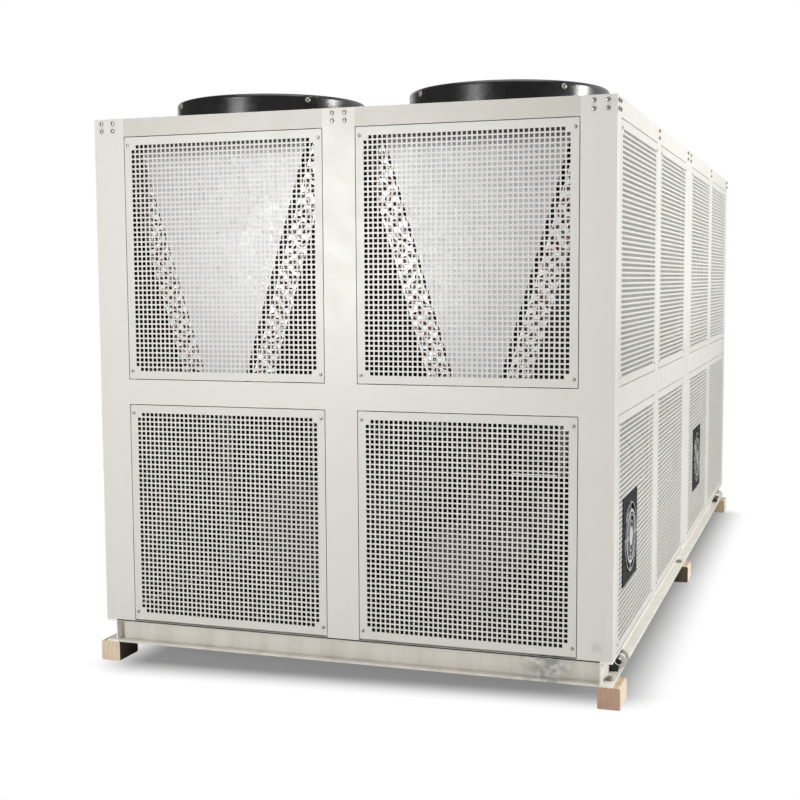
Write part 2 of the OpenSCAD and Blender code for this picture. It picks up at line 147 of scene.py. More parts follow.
def facing(side):
    # turns what faces -Y at y = 0 onto one side of the cabinet
    outward = Matrix.Translation((0, -sides[side]["reach"], 0))
    return Matrix.Rotation(math.radians(sides[side]["turn"]), 4, "Z") @ outward


# small material tools
def startMaterial(name):
    material = bpy.data.materials.new(name)
    material.use_nodes = True
    tree = material.node_tree
    shader = tree.nodes["Principled BSDF"]
    coords = tree.nodes.new("ShaderNodeTexCoord")
    return material, tree, shader, coords.outputs["Object"]


def addNoise(tree, vector, scale, detail=4, roughness=0.55):
    noise = tree.nodes.new("ShaderNodeTexNoise")
    noise.inputs["Scale"].default_value = scale
    noise.inputs["Detail"].default_value = detail
    noise.inputs["Roughness"].default_value = roughness
    tree.links.new(vector, noise.inputs["Vector"])
    return noise.outputs["Fac"]


def stretchCoords(tree, vector, scale):
    mapping = tree.nodes.new("ShaderNodeMapping")
    mapping.inputs["Scale"].default_value = scale
    tree.links.new(vector, mapping.inputs["Vector"])
    return mapping.outputs["Vector"]


def splitAxes(tree, vector):
    parts = tree.nodes.new("ShaderNodeSeparateXYZ")
    tree.links.new(vector, parts.inputs[0])
    return parts.outputs


def faceWay(tree):
    # which way a face looks, by its axes
    return splitAxes(tree, tree.nodes.new("ShaderNodeNewGeometry").outputs["Normal"])


def addRamp(tree, value, low, high, lowTo=0.0, highTo=1.0, curve="LINEAR"):
    ramp = tree.nodes.new("ShaderNodeMapRange")
    ramp.interpolation_type = curve
    for key, number in zip(("From Min", "From Max", "To Min", "To Max"), (low, high, lowTo, highTo)):
        ramp.inputs[key].default_value = number
    tree.links.new(value, ramp.inputs["Value"])
    return ramp.outputs["Result"]


def addMath(tree, operation, a, b=0):
    node = tree.nodes.new("ShaderNodeMath")
    node.operation = operation
    for socket, value in zip(node.inputs, (a, b)):
        if isinstance(value, (int, float)):
            socket.default_value = value
        else:
            tree.links.new(value, socket)
    return node.outputs[0]


def multiply(tree, value, *others):
    for other in others:
        value = addMath(tree, "MULTIPLY", value, other)
    return value


def mixColour(tree, factor, a, b):
    mix = tree.nodes.new("ShaderNodeMix")
    mix.data_type = "RGBA"
    tree.links.new(factor, mix.inputs["Factor"])
    for socket, value in zip((mix.inputs[6], mix.inputs[7]), (a, b)):  # the colour sockets A and B
        if isinstance(value, tuple):
            socket.default_value = (*value, 1)
        else:
            tree.links.new(value, socket)
    return mix.outputs[2]


def darker(colour, share):
    return tuple(c * share for c in colour)


def addBump(tree, shader, height, distance, strength=1.0):
    bump = tree.nodes.new("ShaderNodeBump")
    bump.inputs["Distance"].default_value = distance
    bump.inputs["Strength"].default_value = strength
    tree.links.new(height, bump.inputs["Height"])
    tree.links.new(bump.outputs["Normal"], shader.inputs["Normal"])


def unevenRough(tree, shader, coords, scale, low, high, detail=3):
    rough = addRamp(tree, addNoise(tree, coords, scale, detail), 0.3, 0.7, low, high)
    tree.links.new(rough, shader.inputs["Roughness"])


# paints: dust gathers from dustTop down over dustFade, and a mark is a place, a radius and a tone
dustFade = 0.28
paintLooks = {
    "cabinetPaint": {"colour": (0.69, 0.67, 0.62), "rough": 0.36, "dust": (0.50, 0.47, 0.40),
                     "dustTop": 0.42, "dustShare": 0.20,
                     "marks": [((1.03, -halfL, 0.235), 0.030, (0.56, 0.55, 0.51))]},
    # the end top rails get a darker copy of the cabinet paint: painted shade, for the dimmer light on their
    # faces
    "railShadedPaint": {"colour": (0.58, 0.555, 0.50), "rough": 0.38, "dust": (0.50, 0.47, 0.40),
                  "dustTop": 0.42, "dustShare": 0.20, "marks": []},
    "panelPaint": {"colour": (0.66, 0.645, 0.60), "rough": 0.38, "dust": (0.52, 0.49, 0.42),
                   "dustTop": 0.42, "dustShare": 0.18, "marks": []},
    # the inside paint is near black: painted shade of the unlit inside of the cabinet
    "panelInsideShade": {"colour": (0.022, 0.022, 0.021), "rough": 0.60, "dust": (0.012, 0.011, 0.010),
                    "dustTop": 0.60, "dustShare": 0.5, "marks": []},
    "basePaint": {"colour": (0.70, 0.67, 0.60), "rough": 0.45, "dust": (0.38, 0.35, 0.29),
                  "dustTop": 0.30, "dustShare": 0.55,
                  "marks": [((0.83, -halfL, 0.145), 0.13, (0.33, 0.32, 0.315))]},
    # the base side rails get a lighter copy of the base paint: painted light, lifting their web and flange
    # out of the shade under the cabinet
    "sideRailLitPaint": {"colour": (0.84, 0.82, 0.76), "rough": 0.42, "dust": (0.46, 0.43, 0.36),
                      "dustTop": 0.30, "dustShare": 0.35, "marks": []},
}


def paintMaterial(name):
    look = paintLooks[name]
    material, tree, shader, coords = startMaterial(name)
    cloud = addRamp(tree, addNoise(tree, coords, 1.3, 3), 0.3, 0.7, 0.0, 0.12)
    colour = mixColour(tree, cloud, look["colour"], darker(look["colour"], 0.90))
    streaks = addNoise(tree, stretchCoords(tree, coords, (14, 14, 1.6)), 1.0, 5)
    height = splitAxes(tree, coords)["Z"]
    low = addRamp(tree, height, look["dustTop"] - dustFade, look["dustTop"], 1.0, 0.0)
    dust = multiply(tree, addRamp(tree, streaks, 0.42, 0.72), low, look["dustShare"])
    colour = mixColour(tree, dust, colour, look["dust"])
    for place, radius, tone in look["marks"]:  # rubbed and dirty spots
        gap = tree.nodes.new("ShaderNodeVectorMath")
        gap.operation = "DISTANCE"
        gap.inputs[1].default_value = place
        tree.links.new(coords, gap.inputs[0])
        patch = addRamp(tree, gap.outputs["Value"], 0.4 * radius, radius, 1.0, 0.0)
        speckle = addRamp(tree, addNoise(tree, coords, 28, 5), 0.38, 0.58)
        colour = mixColour(tree, multiply(tree, patch, speckle), colour, tone)
    tree.links.new(colour, shader.inputs["Base Color"])
    unevenRough(tree, shader, coords, 9, look["rough"] - 0.05, look["rough"] + 0.06, 4)
    addBump(tree, shader, addNoise(tree, coords, 420, 2), 0.00012, 0.35)  # powder coat
    return material


# lifting lugs: a paint lighter than the base paint, as painted light, with painted shade on their flat
# faces, in towards the web of the rail
lug = {"colour": (0.78, 0.76, 0.70), "faceShade": (0.018, 0.018, 0.016), "faceShadeFrom": 1.084,
       "faceShadeTo": 1.094, "ragged": 0.008}


def lugMaterial(name):
    material, tree, shader, coords = startMaterial(name)
    flat = addMath(tree, "GREATER_THAN", addMath(tree, "ABSOLUTE", faceWay(tree)["Y"]), 0.5)
    ragged = multiply(tree, addNoise(tree, coords, 20, 4), lug["ragged"])
    reach = addMath(tree, "ADD", addMath(tree, "ABSOLUTE", splitAxes(tree, coords)["X"]), ragged)
    lugShade = multiply(tree, flat, addRamp(tree, reach, lug["faceShadeFrom"], lug["faceShadeTo"], 1.0, 0.0))
    tree.links.new(mixColour(tree, lugShade, lug["colour"], lug["faceShade"]), shader.inputs["Base Color"])
    unevenRough(tree, shader, coords, 40, 0.4, 0.6)
    return material


def zincMaterial(name, colour, rough, spangle=38, metal=0.55, topShade=None, blotch=1.0):
    material, tree, shader, coords = startMaterial(name)
    cells = tree.nodes.new("ShaderNodeTexVoronoi")
    cells.inputs["Scale"].default_value = spangle
    tree.links.new(coords, cells.inputs["Vector"])
    grey = tree.nodes.new("ShaderNodeRGBToBW")
    tree.links.new(cells.outputs["Color"], grey.inputs[0])
    flake = addRamp(tree, grey.outputs[0], 0.2, 0.8, 0.0, 0.30 * blotch)
    tone = mixColour(tree, flake, colour, darker(colour, 0.80))
    if topShade:  # painted shade along the top edge, from one height to another
        dark = addRamp(tree, splitAxes(tree, coords)["Z"], *topShade, 0.0, 0.92)
        tone = mixColour(tree, dark, tone, darker(colour, 0.08))
    tree.links.new(tone, shader.inputs["Base Color"])
    uneven = addRamp(tree, grey.outputs[0], 0.2, 0.8, rough - 0.06 * blotch, rough + 0.08 * blotch)
    tree.links.new(uneven, shader.inputs["Roughness"])
    shader.inputs["Metallic"].default_value = metal
    addBump(tree, shader, addNoise(tree, coords, 60, 3), 0.0003, 0.10 * blotch)
    return material


def blackMaterial(name, rough, shine=0.5):
    material, tree, shader, coords = startMaterial(name)
    dust = addRamp(tree, addNoise(tree, coords, 7, 5), 0.45, 0.75, 0.0, 0.35)
    colour = mixColour(tree, dust, (0.010, 0.010, 0.011), (0.026, 0.026, 0.027))
    tree.links.new(colour, shader.inputs["Base Color"])
    unevenRough(tree, shader, coords, 22, rough - 0.06, rough + 0.08)
    shader.inputs["Specular IOR Level"].default_value = shine
    addBump(tree, shader, addNoise(tree, coords, 300, 2), 0.00015, 0.3)
    return material


def copperMaterial(name, fresh, darkShade):
    material, tree, shader, coords = startMaterial(name)
    # noise patches of the near-black tone: painted shade of the deep gaps between the bends
    shadePatches = addRamp(tree, addNoise(tree, coords, 30, 5), 0.4, 0.7)
    tree.links.new(mixColour(tree, shadePatches, fresh, darkShade), shader.inputs["Base Color"])
    unevenRough(tree, shader, coords, 80, 0.28, 0.48)
    shader.inputs["Metallic"].default_value = 0.85
    return material


def finMaterial(name, pitch):
    material, tree, shader, coords = startMaterial(name)
    wave = tree.nodes.new("ShaderNodeTexWave")
    wave.bands_direction = "Y"
    wave.inputs["Scale"].default_value = math.pi / 10 / pitch  # at scale 1 a wave is pi / 10 metres long
    wave.inputs["Distortion"].default_value = 0.15
    tree.links.new(coords, wave.inputs["Vector"])
    # painted shade: the bands between the fins go blacker, and the fins are near black for the unlit
    # interior
    gap = addRamp(tree, wave.outputs["Fac"], 0.2, 0.7, 0.75, 0.0)
    colour = mixColour(tree, gap, (0.060, 0.062, 0.065), (0.008, 0.008, 0.009))
    tree.links.new(colour, shader.inputs["Base Color"])
    shader.inputs["Metallic"].default_value = 0.6
    unevenRough(tree, shader, coords, 12, 0.40, 0.55)
    addBump(tree, shader, wave.outputs["Fac"], 0.002, 0.8)
    return material


def castMaterial(name, colour, rough):
    material, tree, shader, coords = startMaterial(name)
    stain = addRamp(tree, addNoise(tree, coords, 6, 5), 0.4, 0.75, 0.0, 0.6)
    tree.links.new(mixColour(tree, stain, colour, darker(colour, 0.6)), shader.inputs["Base Color"])
    unevenRough(tree, shader, coords, 15, rough - 0.1, rough + 0.1)
    addBump(tree, shader, addNoise(tree, coords, 160, 3), 0.0006, 0.5)
    return material


# sawn pine: each tone is a colour and how much of it shows
pine = {"early": (0.66, 0.52, 0.36), "late": (0.54, 0.38, 0.22), "rough": 0.82,
        "fibre": ((0.74, 0.62, 0.46), 0.35), "dirt": ((0.28, 0.19, 0.12), 0.5),
        # the near-black tone on the faces turned in under the base and the one on the front ends of the
        # middle blocks are painted shade
        "freshFace": ((0.86, 0.78, 0.62), 0.65), "shadedInFace": ((0.030, 0.027, 0.024), 0.9),
        "redEnd": ((0.38, 0.20, 0.13), 0.75), "paleEnd": ((0.82, 0.72, 0.58), 0.40),
        "shadedMiddleEnd": ((0.060, 0.055, 0.040), 0.85)}


def pineMaterial(name):
    material, tree, shader, coords = startMaterial(name)
    # yearly rings around the middle of the base, drawn out along Y
    rings = tree.nodes.new("ShaderNodeTexWave")
    rings.wave_type = "RINGS"
    rings.rings_direction = "Y"
    for key, value in (("Scale", 16), ("Distortion", 3.5), ("Detail", 3), ("Detail Scale", 1.2)):
        rings.inputs[key].default_value = value
    tree.links.new(stretchCoords(tree, coords, (1, 0.10, 1)), rings.inputs["Vector"])
    wood = mixColour(tree, addRamp(tree, rings.outputs["Fac"], 0.25, 0.95), pine["early"], pine["late"])
    fibre = addNoise(tree, stretchCoords(tree, coords, (160, 6, 160)), 1.0, 4)
    dirt = addNoise(tree, coords, 18, 5)
    place, way = splitAxes(tree, coords), faceWay(tree)
    outward = multiply(tree, place["X"], way["X"])
    front = addMath(tree, "LESS_THAN", way["Y"], -0.5)
    near = multiply(tree, front, addMath(tree, "LESS_THAN", place["Y"], -1))
    atRight = addMath(tree, "GREATER_THAN", place["X"], 0)
    atMiddle = addMath(tree, "LESS_THAN", addMath(tree, "ABSOLUTE", place["Y"]), 0.5)
    red = multiply(tree, near, atRight, pine["redEnd"][1])  # only the near right block has a reddish end
    layers = [
        ("fibre", addRamp(tree, fibre, 0.35, 0.7, 0.0, pine["fibre"][1])),
        ("dirt", addRamp(tree, dirt, 0.5, 0.75, 0.0, pine["dirt"][1])),
        ("freshFace", multiply(tree, addMath(tree, "GREATER_THAN", outward, 0.5), pine["freshFace"][1])),
        # painted shade on the faces turned in under the base
        ("shadedInFace", multiply(tree, addMath(tree, "LESS_THAN", outward, -0.5), pine["shadedInFace"][1])),
        ("redEnd", red),
        ("paleEnd", multiply(tree, addMath(tree, "SUBTRACT", near, red), pine["paleEnd"][1])),
        # painted shade on the front ends of the middle blocks
        ("shadedMiddleEnd", multiply(tree, front, atMiddle, pine["shadedMiddleEnd"][1])),
    ]
    for tone, share in layers:
        wood = mixColour(tree, share, wood, pine[tone][0])
    tree.links.new(wood, shader.inputs["Base Color"])
    shader.inputs["Roughness"].default_value = pine["rough"]
    addBump(tree, shader, fibre, 0.0012, 0.7)
    return material


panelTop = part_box("front_upper_panels")[1].z
plateTopShade = (panelTop - 0.10, panelTop - 0.045)  # painted shade: the V plates darken between these heights, below the panel tops that shade them
cabinetPaint = paintMaterial("cabinetPaint")
railShadedPaint = paintMaterial("railShadedPaint")
panelPaint = paintMaterial("panelPaint")
panelInsideShade = paintMaterial("panelInsideShade")
basePaint = paintMaterial("basePaint")
sideRailLitPaint = paintMaterial("sideRailLitPaint")
lugPaint = lugMaterial("lugPaint")
zincSheet = zincMaterial("zincSheet", (0.86, 0.87, 0.88), 0.36)
zincPlate = zincMaterial("zincPlate", (0.46, 0.47, 0.475), 0.36, metal=0.65, topShade=plateTopShade, blotch=0.35)
# the sheet zinc, beams, saddles and stands inside are near black: painted shade of the unlit interior
zincInteriorShade = zincMaterial("zincInteriorShade", (0.024, 0.024, 0.024), 0.65)
zincScrew = zincMaterial("zincScrew", (0.34, 0.31, 0.27), 0.30, spangle=400)
ventZinc = zincMaterial("ventZinc", (0.78, 0.79, 0.80), 0.26, metal=0.9)
fanBlack = blackMaterial("fanBlack", 0.26)
motorBlack = blackMaterial("motorBlack", 0.48)
ventBlack = blackMaterial("ventBlack", 0.60, shine=0.10)
copperTube = copperMaterial("copperTube", (0.42, 0.16, 0.09), (0.03, 0.018, 0.015))
# the refrigerant pipes' copper is near black: painted shade of the unlit interior
copperDark = copperMaterial("copperDark", (0.10, 0.045, 0.03), (0.03, 0.02, 0.018))
coilFin = finMaterial("coilFin", 0.004)
# black foam on the evaporator; the same black serves as painted shade on the far backings and the seal
# strips
foamBlackAndShade = castMaterial("foamBlackAndShade", (0.022, 0.022, 0.024), 0.75)
# the compressors' grey is near black: painted shade of the unlit interior
castGreyInShade = castMaterial("castGreyInShade", (0.040, 0.042, 0.045), 0.5)
pineWood = pineMaterial("pineWood")
print("materials made:", len(bpy.data.materials))

# finishes of the CAD nodes that stay
nodeLooks = {
    basePaint: ["base_end_channels", "base_cross_channels"],
    sideRailLitPaint: ["base_side_rails"],
    lugPaint: ["lifting_lugs"],
    cabinetPaint: ["corner_posts", "end_centre_posts", "quarter_posts", "middle_posts",
                   "side_top_rails", "end_mid_rails", "side_mid_rails", "roof_sheets"],
    railShadedPaint: ["end_top_rails"],
    zincSheet: ["coil_end_sheets"],
    ventZinc: ["vent_guards"],
    zincPlate: ["v_closing_plates"],
    zincInteriorShade: ["deck_sheet", "deck_beams", "floor_sheet", "evaporator_saddles", "compressor_stands"],
    fanBlack: ["fan_rings", "fan_guards"],
    ventBlack: ["vent_frames", "vent_rotors"],
    motorBlack: ["fan_motors", "fan_rotors"],
    copperDark: ["refrigerant_pipes"],
    coilFin: ["condenser_coils"],
    foamBlackAndShade: ["evaporator"],
    castGreyInShade: ["compressors"],
}
for material, names in nodeLooks.items():
    for name in names:
        nodes[name].data.materials.clear()
        nodes[name].data.materials.append(material)
print("nodes finished:", sum(len(names) for names in nodeLooks.values()))

# screws with a driven recess; on the ends they are bright, on the long sides painted over
screw = {"radius": 0.0068, "height": 0.0050, "inX": 0.0145, "inZ": 0.033, "segments": 12}
brightHeads, paintedHeads = [], []


def screwShape(size):
    r, h = size["radius"], size["height"]
    profile = [(0, h * 0.55), (r * 0.30, h * 0.55), (r * 0.36, h), (r * 0.72, h * 0.92),
               (r * 0.95, h * 0.55), (r, 0.0)]
    return revolveShape(profile, screw["segments"])


def addScrew(heads, size, side, x, z):
    place = facing(side) @ Matrix.Translation((x, 0, z)) @ Matrix.Rotation(math.radians(90), 4, "X")
    heads.append(moveShape(screwShape(size), place))


# perforated panels in place of the plain trays; ventHalf is the half width left clear at a ventilator
panel = {"pitch": 0.020, "endHole": 0.0135, "sideHole": 0.0122, "margin": 0.0397, "slack": 0.001,
         "sheet": 0.0010, "depth": 0.020, "gap": 0.0018, "ventHalf": 0.155}


def cutLines(size, hole):
    # sheet edges and hole edges along one side of a panel
    count = int((size - 2 * panel["margin"] + panel["slack"]) / panel["pitch"]) + 1
    first = -(count - 1) * panel["pitch"] / 2
    lines = [-size / 2]
    for i in range(count):
        middle = first + i * panel["pitch"]
        lines += [middle - hole / 2, middle + hole / 2]
    return np.array(lines + [size / 2])


def solidCells(xs, zs, openings):
    # which cells between the lines are sheet, with an empty rim around them
    nx, nz = len(xs), len(zs)
    solid = np.zeros((nx + 1, nz + 1), bool)
    solid[1:nx, 1:nz] = True
    solid[2:nx - 1:2, 2:nz - 1:2] = False
    for i in (2, nx - 2):
        for j in (2, nz - 2):
            solid[i, j] = True  # corner holes are left out for the screws
    midX, midZ = (xs[1:] + xs[:-1]) / 2, (zs[1:] + zs[:-1]) / 2
    for x, z in openings:
        inX, inZ = np.abs(midX - x) < panel["ventHalf"], np.abs(midZ - z) < panel["ventHalf"]
        solid[1:nx, 1:nz] &= ~(inX[:, None] & inZ[None, :])
    return solid


def perforatedSheet(width, height, hole, openings, closed):
    # a sheet in the XZ plane with its face at y = 0; openings are the middles of squares left clear
    xs, zs = cutLines(width, hole), cutLines(height, hole)
    nx, nz = len(xs), len(zs)
    solid = solidCells(xs, zs, openings)
    grid = np.arange(nx * nz).reshape(nx, nz)
    backGrid = grid + nx * nz
    gx, gz = np.meshgrid(xs, zs, indexing="ij")
    front = np.stack([gx.ravel(), np.zeros(nx * nz), gz.ravel()], 1)
    points = np.concatenate([front, front + (0, panel["sheet"], 0)])
    i, j = np.nonzero(solid[1:nx, 1:nz])
    faces = [np.stack([grid[i, j], grid[i + 1, j], grid[i + 1, j + 1], grid[i, j + 1]], 1)]
    if closed:
        around = [backGrid[i, j + 1], backGrid[i + 1, j + 1], backGrid[i + 1, j], backGrid[i, j]]
        faces.append(np.stack(around, 1))
    for across in (True, False):  # walls where sheet and hole meet
        a, b = (solid[:-1, 1:nz], solid[1:, 1:nz]) if across else (solid[1:nx, :-1], solid[1:nx, 1:])
        for here, there, flip in ((a, b, False), (b, a, True)):
            i, j = np.nonzero(here & ~there)
            if across:
                wall = np.stack([grid[i, j], backGrid[i, j], backGrid[i, j + 1], grid[i, j + 1]], 1)
            else:
                wall = np.stack([grid[i, j], grid[i + 1, j], backGrid[i + 1, j], backGrid[i, j]], 1)
            faces.append(wall[:, ::-1] if flip else wall)
    faces = np.concatenate(faces)
    used, packed = np.unique(faces, return_inverse=True)
    return points[used], [tuple(f) for f in packed.reshape(faces.shape).tolist()]


def panelReturns(width, height):
    # folded edges behind the sheet
    t, d = panel["sheet"], panel["depth"]
    w, h = width / 2, height / 2
    return [boxShape((-w, t, -h), (-w + t, d, h)), boxShape((w - t, t, -h), (w, d, h)),
            boxShape((-w + t, t, -h), (w - t, d, -h + t)), boxShape((-w + t, t, h - t), (w - t, d, h))]


def darkenInside(piece, side):
    # faces that look into the cabinet get a near-black paint: painted shade of the unlit inside of the
    # cabinet
    piece.data.materials.append(panelInsideShade)
    normals = np.empty(len(piece.data.polygons) * 3)
    piece.data.polygons.foreach_get("normal", normals)
    inward = normals.reshape(-1, 3) @ np.array(facing(side).to_3x3() @ Vector((0, 1, 0)))
    piece.data.polygons.foreach_set("material_index", (inward > 0.5).astype(np.int32))


def makePanels(side, level):
    node = f"{side}_{level}_panels"
    low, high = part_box(node)
    z, height = (low.z + high.z) / 2, high.z - low.z - 2 * panel["gap"]
    hole, heads = (panel["endHole"], brightHeads) if side in ends else (panel["sideHole"], paintedHeads)
    closed = side in ("front", "right") or node == "rear_upper_panels"  # the rest has a black shade backing behind it
    ventZ = sum(corner.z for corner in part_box("vent_frames")) / 2
    shapes = []
    for start, end in spansOf(node, sides[side]["axis"]):
        along, width = (start + end) / 2 * sides[side]["sign"], end - start - 2 * panel["gap"]
        openings = []
        if node == "right_lower_panels":
            openings = [(y - along, ventZ - z) for y in middlesOf("vent_frames", 1) if start < y < end]
        sheet = perforatedSheet(width, height, hole, openings, closed)
        place = facing(side) @ Matrix.Translation((along, 0, z))
        shapes.append(moveShape(joinShapes([sheet] + panelReturns(width, height)), place))
        for sx in (-1, 1):
            for sz in (-1, 1):
                x, up = along + sx * (width / 2 - screw["inX"]), z + sz * (height / 2 - screw["inZ"])
                addScrew(heads, screw, side, x, up)
    name = f"{side}{level.capitalize()}Sheets"
    piece = makePiece(name, joinShapes(shapes), panelPaint, [node])
    darkenInside(piece, side)
    print(piece.name, len(piece.data.polygons), "faces")


for side in sides:
    for level in ("upper", "lower"):
        makePanels(side, level)

# black quilted mat behind the panels of the two far sides: a dark sheet standing in for the shade inside the
# cabinet, so that no daylight shows through
shadeBacking = {"back": 0.014, "thick": 0.005, "cell": 0.09, "dip": 0.002, "margin": 0.012}


def shadeBackingShape(width, height):
    # a quilted mat, dipped along the seams of its cells
    xs = np.linspace(-width / 2, width / 2, 2 * max(1, round(width / shadeBacking["cell"])) + 1)
    zs = np.linspace(-height / 2, height / 2, 2 * max(1, round(height / shadeBacking["cell"])) + 1)
    points, faces = [], []
    for y, dip in ((shadeBacking["back"], shadeBacking["dip"]), (shadeBacking["back"] + shadeBacking["thick"], 0)):
        for i, x in enumerate(xs):
            for j, z in enumerate(zs):
                seam = i % 2 == 0 or j % 2 == 0
                points.append((x, y + (dip if seam else 0), z))
    n, shift = len(zs), len(xs) * len(zs)
    for i in range(len(xs) - 1):
        for j in range(n - 1):
            a, b, c, d = i * n + j, (i + 1) * n + j, (i + 1) * n + j + 1, i * n + j + 1
            faces += [(a, b, c, d), (d + shift, c + shift, b + shift, a + shift)]
    rim = [i * n for i in range(len(xs))] + [(len(xs) - 1) * n + j for j in range(1, n)]
    rim += [i * n + n - 1 for i in range(len(xs) - 2, -1, -1)] + list(range(n - 2, 0, -1))
    for a, b in zip(rim, rim[1:] + rim[:1]):
        faces.append((b, a, a + shift, b + shift))
    return np.array(points), faces


mats = []
for side, level in (("rear", "lower"), ("left", "lower"), ("left", "upper")):
    node = f"{side}_{level}_panels"
    low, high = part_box(node)
    for start, end in spansOf(node, sides[side]["axis"]):
        along = (start + end) / 2 * sides[side]["sign"]
        place = facing(side) @ Matrix.Translation((along, 0, (low.z + high.z) / 2))
        mat = shadeBackingShape(end - start - shadeBacking["margin"], high.z - low.z - shadeBacking["margin"])
        mats.append(moveShape(mat, place))
makePiece("farShadeBackings", joinShapes(mats), foamBlackAndShade, smoothAngle=60)
print("lining mats:", len(mats))

# screws in the heads of the posts, in pairs one above the other
postScrew = {"radius": 0.0088, "height": 0.0062, "spreadX": 0.026, "spreadZ": 0.0155, "drop": 0.032,
             "endIn": 0.060, "cornerIn": (0.028, 0.070), "middle": 0.067}


def addPostScrews(side, x):
    for sz in (-1, 1):
        up = topZ - postScrew["drop"] + sz * postScrew["spreadZ"]
        addScrew(brightHeads, postScrew, side, x, up)


for side in ends:
    for x in (-halfW + postScrew["endIn"], 0, halfW - postScrew["endIn"]):
        for sx in (-1, 1):
            addPostScrews(side, x + sx * postScrew["spreadX"])
atMiddle = [-postScrew["middle"], postScrew["middle"]]
atCorners = [s * (halfL - d) for s in (-1, 1) for d in postScrew["cornerIn"]]
for side in longSides:
    for y in middlesOf("quarter_posts", 1) + atMiddle + atCorners:
        addPostScrews(side, y)
makePiece("panelScrews", joinShapes(brightHeads), zincScrew, smoothAngle=40)
makePiece("paintedScrews", joinShapes(paintedHeads), panelPaint, smoothAngle=40)
print("screws placed:", len(brightHeads), "and", len(paintedHeads), "painted over")

# copper return bends on the coil ends, three rows of tubes at their real pitch, some of them aslant
bend = {"pitch": 0.0254, "tube": 0.0060, "leg": 0.008, "rows": (0.2, 0.5, 0.8), "endGap": 0.030,
        "tilt": 28, "arc": 6, "segments": 6, "seed": 3}


def bendShape(along, out):
    # half a turn of tube from one hole to the next, standing on the plane at right angles to out
    across = along.cross(out).normalized()
    radius = bend["pitch"] / 2
    path = [(-radius * along, out)]
    for k in range(bend["arc"] + 1):
        turn = math.pi * k / bend["arc"]
        path.append((out * (bend["leg"] + radius * math.sin(turn)) - along * radius * math.cos(turn),
                     out * math.cos(turn) + along * math.sin(turn)))
    path.append((radius * along, -out))
    points = []
    for place, way in path:
        side = way.cross(across).normalized()
        for k in range(bend["segments"]):
            turn = 2 * math.pi * k / bend["segments"]
            points.append(place + bend["tube"] * (across * math.cos(turn) + side * math.sin(turn)))
    return drawnShape(points, bend["segments"], capped=False)


def coilEdges(atRear):
    # foot and head of each coil end as pairs of x, read from the end sheets
    low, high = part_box("coil_end_sheets")
    plane = high.y if atRear else low.y
    corners = [v.co for v in nodes["coil_end_sheets"].data.vertices if abs(v.co.y - plane) < nearGap]
    feet = sorted({round(c.x, 4) for c in corners if abs(c.z - low.z) < nearGap})
    heads = sorted({round(c.x, 4) for c in corners if abs(c.z - high.z) < nearGap})
    return plane, low.z, high.z, list(zip(feet[::2], feet[1::2], heads[::2], heads[1::2]))


chance = random.Random(bend["seed"])
for atRear, label in ((False, "front"), (True, "rear")):
    plane, z0, z1, coils = coilEdges(atRear)
    out = Vector((0, 1 if atRear else -1, 0))
    bends = []
    for footIn, footOut, headIn, headOut in coils:
        for j, share in enumerate(bend["rows"]):
            foot = Vector((footIn + share * (footOut - footIn), plane, z0))
            head = Vector((headIn + share * (headOut - headIn), plane, z1))
            along = (head - foot).normalized()
            count = int(((head - foot).length - bend["endGap"]) / (2 * bend["pitch"]))
            for i in range(count):
                place = foot + along * (bend["endGap"] + (2 * i + 0.5 + (j % 2)) * bend["pitch"])
                if place.z > z1 - bend["endGap"]:
                    continue
                turn = chance.choice((-bend["tilt"], 0, 0, bend["tilt"]))
                tilt = Matrix.Rotation(math.radians(turn), 3, out)
                bends.append(moveShape(bendShape(tilt @ along, out), Matrix.Translation(place)))
    makePiece(f"{label}ReturnBends", joinShapes(bends), copperTube,
              [f"return_bends_{label}"], smoothAngle=60)
    print(label, "return bends:", len(bends))

# bright screws around each fan ring, on the diagonals
ringScrew = {"radius": 0.0120, "height": 0.007, "drop": 0.024, "sink": 0.001, "band": 0.06,
             "turns": (45, 135, 225, 315)}
fanXs, fanYs = middlesOf("fan_rings", 0), middlesOf("fan_rings", 1)
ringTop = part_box("fan_rings")[1].z
# the outside of the first ring, read from the points in the band below its top
wall = [v.co for v in nodes["fan_rings"].data.vertices if ringTop - ringScrew["band"] < v.co.z < ringTop]
firstFan, halfway = Vector((fanXs[0], fanYs[0])), (fanYs[0] + fanYs[1]) / 2
ringRadius = max((firstFan - c.xy).length for c in wall if c.x < 0 and c.y < halfway)
ringHeads = []
for x in fanXs:
    for y in fanYs:
        for turn in ringScrew["turns"]:
            place = Matrix.Translation((x, y, ringTop - ringScrew["drop"]))
            place = place @ Matrix.Rotation(math.radians(turn), 4, "Z")
            place = place @ Matrix.Translation((ringRadius - ringScrew["sink"], 0, 0))
            place = place @ Matrix.Rotation(math.pi / 2, 4, "Y")
            ringHeads.append(moveShape(screwShape(ringScrew), place))
makePiece("ringScrews", joinShapes(ringHeads), zincScrew, smoothAngle=40)
print("ring screws:", len(ringHeads), "ring radius", round(ringRadius, 4))

# dark seal strip in the joint between base and cabinet, at both ends; its black is also painted shade for
# the dark line of that joint
sealAndShade = {"height": 0.006, "depth": 0.004, "proud": 0.0012, "lip": 0.0006, "beads": 60}


def sealAndShadeShape():
    low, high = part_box("base_end_channels")
    back, drop = halfL - high.y, sealAndShade["height"]
    outline = [(sealAndShade["depth"], 0), (0, -sealAndShade["lip"]), (-sealAndShade["proud"], -drop / 2), (0, -drop),
               (sealAndShade["depth"], -drop)]
    xs = np.linspace(low.x, high.x, sealAndShade["beads"] + 1)
    return drawnShape([(x, back + y, high.z + z) for x in xs for y, z in outline], len(outline))


strips = [moveShape(sealAndShadeShape(), facing(side)) for side in ends]
makePiece("sealAndShadeStrips", joinShapes(strips), foamBlackAndShade)
print("seal strips:", len(strips))

